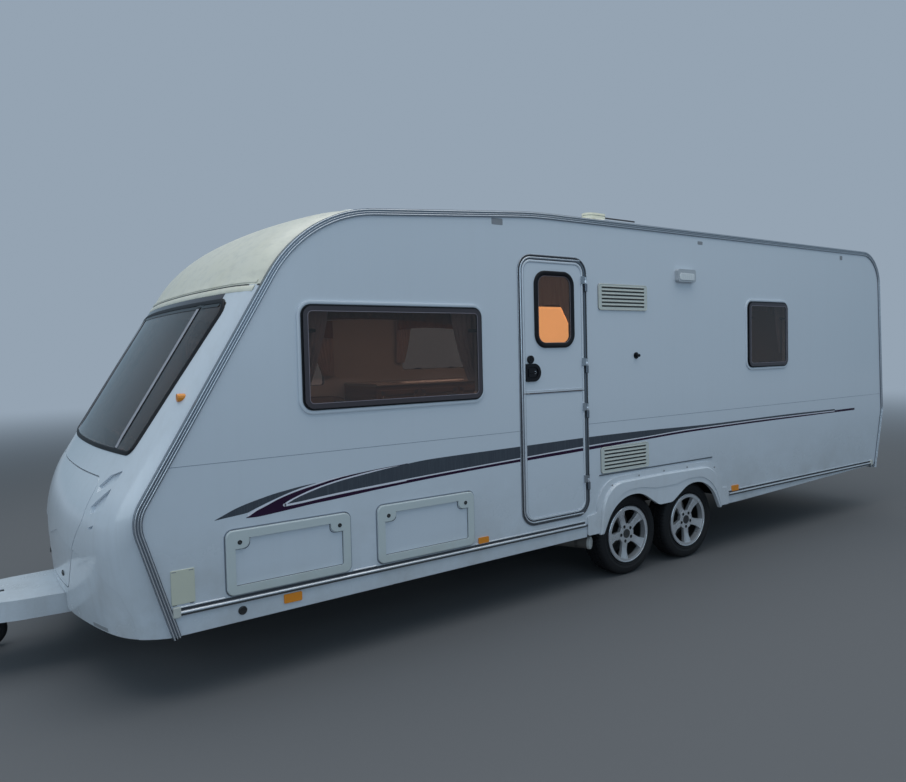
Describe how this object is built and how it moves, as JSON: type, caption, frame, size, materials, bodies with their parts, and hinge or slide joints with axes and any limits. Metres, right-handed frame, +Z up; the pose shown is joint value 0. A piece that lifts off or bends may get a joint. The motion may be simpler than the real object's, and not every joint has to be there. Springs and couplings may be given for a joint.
{
  "type": "travel caravan",
  "caption": "Touring caravan on close-set twin axles, with raked rounded front, stable door, side lockers, alloy wheels and a jockey wheel on its drawbar.",
  "frame": {"origin": "on the ground, under the middle of the whole length and width", "axes": "+X forwards to the coupling, +Y to the side with the door, +Z up"},
  "size_m": [8.2398, 2.368, 2.8],
  "materials": {
    "aluminium_skin": "smooth white paint on sheet",
    "grp_white": "moulded white glass-fibre skin",
    "grp_cream": "aged cream moulding",
    "rail_silver": "satin extrusion",
    "acrylic": "smoked acrylic pane",
    "rubber": "matt seal",
    "tyre": "road tyre",
    "alloy": "painted alloy",
    "galvanised": "galvanised steel",
    "steel_dark": "dark painted iron",
    "trim_white": "white moulded plastic",
    "trim_cream": "cream moulded plastic",
    "plastic_black": "black plastic",
    "lens_orange": "orange lens",
    "lens_red": "red lens",
    "lamp_clear": "milky lens",
    "floor_ply": "sealed plywood",
    "furniture_wood": "foil-faced board",
    "upholstery": "woven seat cover",
    "underbody_black": "black liner"
  },
  "bodies": {
    "caravan": {"aerial_foot": "trim_white", "awning_lamp": "lamp_clear", "axles": "steel_dark", "bulkheads": "furniture_wood", "cabin_windows": "acrylic", "chassis_cross_members": "galvanised", "chassis_rails": "galvanised", "corner_rails": "rail_silver", "coupling_head": "steel_dark", "cushions": "upholstery", "door_catch": "plastic_black", "door_frame": "rail_silver", "drawbar_arms": "galvanised", "drawbar_cover": "trim_white", "floor": "floor_ply", "fridge_vents": "trim_cream", "front_panel": "grp_white", "front_roof_cap": "grp_cream", "front_window": "acrylic", "furniture": "furniture_wood", "handbrake_lever": "steel_dark", "jockey_clamp": "galvanised", "marker_lamps": "lens_orange", "rear_bumper": "trim_white", "rear_lamps": "lens_red", "rear_panel": "grp_white", "roof": "aluminium_skin", "roof_light_frames": "trim_white", "sill_trims": "rail_silver", "skirts": "aluminium_skin", "wall_left": "aluminium_skin", "wall_right": "aluminium_skin", "wheel_boxes": "underbody_black", "wheel_spats": "trim_white", "window_seals": "rubber"},
    "wheel_front_left": {"tyre_front_left": "tyre", "rim_front_left": "alloy"},
    "wheel_front_right": {"tyre_front_right": "tyre", "rim_front_right": "alloy"},
    "wheel_rear_left": {"tyre_rear_left": "tyre", "rim_rear_left": "alloy"},
    "wheel_rear_right": {"tyre_rear_right": "tyre", "rim_rear_right": "alloy"},
    "door_upper_leaf": {"door_upper": "aluminium_skin", "door_window": "acrylic", "door_handle": "plastic_black"},
    "door_lower_leaf": {"door_lower": "aluminium_skin"},
    "front_locker_lid": {"front_locker_lid": "grp_white"},
    "side_locker_door_front": {"side_locker_door_front": "aluminium_skin"},
    "side_locker_door_middle": {"side_locker_door_middle": "aluminium_skin"},
    "roof_light_front": {"roof_light_front": "acrylic"},
    "roof_light_rear": {"roof_light_rear": "acrylic"},
    "steady_front_left": {"steady_front_left": "galvanised"},
    "steady_front_right": {"steady_front_right": "galvanised"},
    "steady_rear_left": {"steady_rear_left": "galvanised"},
    "steady_rear_right": {"steady_rear_right": "galvanised"},
    "jockey_leg": {"jockey_leg": "galvanised"},
    "jockey_fork": {"jockey_fork": "galvanised"},
    "jockey_wheel": {"jockey_wheel": "tyre"},
    "aerial": {"aerial": "trim_cream"}
  },
  "joints": [
    {"name": "spin_front_left", "type": "hinge", "parent": "caravan", "child": "wheel_front_left", "pos_m": [-0.28834, 0, 0.3], "axis": [0, 1, 0], "continuous": true},
    {"name": "spin_front_right", "type": "hinge", "parent": "caravan", "child": "wheel_front_right", "pos_m": [-0.28834, 0, 0.3], "axis": [0, 1, 0], "continuous": true},
    {"name": "spin_rear_left", "type": "hinge", "parent": "caravan", "child": "wheel_rear_left", "pos_m": [-0.97334, 0, 0.3], "axis": [0, 1, 0], "continuous": true},
    {"name": "spin_rear_right", "type": "hinge", "parent": "caravan", "child": "wheel_rear_right", "pos_m": [-0.97334, 0, 0.3], "axis": [0, 1, 0], "continuous": true},
    {"name": "door_upper_hinge", "type": "hinge", "parent": "caravan", "child": "door_upper_leaf", "pos_m": [0.17016, 1.164, 1.85], "axis": [0, 0, 1], "range_deg": [0, 170]},
    {"name": "door_lower_hinge", "type": "hinge", "parent": "caravan", "child": "door_lower_leaf", "pos_m": [0.17016, 1.164, 0.95], "axis": [0, 0, 1], "range_deg": [0, 170]},
    {"name": "front_locker_hinge", "type": "hinge", "parent": "caravan", "child": "front_locker_lid", "pos_m": [3.18116, 0, 1.09], "axis": [0, -1, 0], "range_deg": [0, 75]},
    {"name": "side_locker_front_hinge", "type": "hinge", "parent": "caravan", "child": "side_locker_door_front", "pos_m": [2.30916, 1.16, 0.48], "axis": [-1, 0, 0], "range_deg": [0, 110]},
    {"name": "side_locker_middle_hinge", "type": "hinge", "parent": "caravan", "child": "side_locker_door_middle", "pos_m": [1.47516, 1.16, 0.483], "axis": [-1, 0, 0], "range_deg": [0, 110]},
    {"name": "roof_light_front_hinge", "type": "hinge", "parent": "caravan", "child": "roof_light_front", "pos_m": [0.85716, 0, 2.581], "axis": [0, -1, 0], "range_deg": [0, 50]},
    {"name": "roof_light_rear_hinge", "type": "hinge", "parent": "caravan", "child": "roof_light_rear", "pos_m": [-2.39284, 0, 2.627], "axis": [0, -1, 0], "range_deg": [0, 50]},
    {"name": "steady_front_left_hinge", "type": "hinge", "parent": "caravan", "child": "steady_front_left", "pos_m": [1.70916, 0.85, 0.405], "axis": [0, 1, 0], "range_deg": [0, 50]},
    {"name": "steady_front_right_hinge", "type": "hinge", "parent": "caravan", "child": "steady_front_right", "pos_m": [1.70916, -0.85, 0.405], "axis": [0, 1, 0], "range_deg": [0, 50]},
    {"name": "steady_rear_left_hinge", "type": "hinge", "parent": "caravan", "child": "steady_rear_left", "pos_m": [-3.07084, 0.85, 0.405], "axis": [0, -1, 0], "range_deg": [0, 50]},
    {"name": "steady_rear_right_hinge", "type": "hinge", "parent": "caravan", "child": "steady_rear_right", "pos_m": [-3.07084, -0.85, 0.405], "axis": [0, -1, 0], "range_deg": [0, 50]},
    {"name": "jockey_wind", "type": "slide", "parent": "caravan", "child": "jockey_leg", "axis": [0, 0, 1], "range_m": [-0.1, 0.085]},
    {"name": "jockey_swivel", "type": "hinge", "parent": "jockey_leg", "child": "jockey_fork", "pos_m": [3.65916, -0.33, 0.25], "axis": [0, 0, 1], "continuous": true},
    {"name": "jockey_spin", "type": "hinge", "parent": "jockey_fork", "child": "jockey_wheel", "pos_m": [3.60416, -0.33, 0.105], "axis": [0, 1, 0], "continuous": true},
    {"name": "aerial_turn", "type": "hinge", "parent": "caravan", "child": "aerial", "pos_m": [-0.70084, 0.38, 2.7], "axis": [0, 0, 1], "range_deg": [-175, 175]}
  ]
}
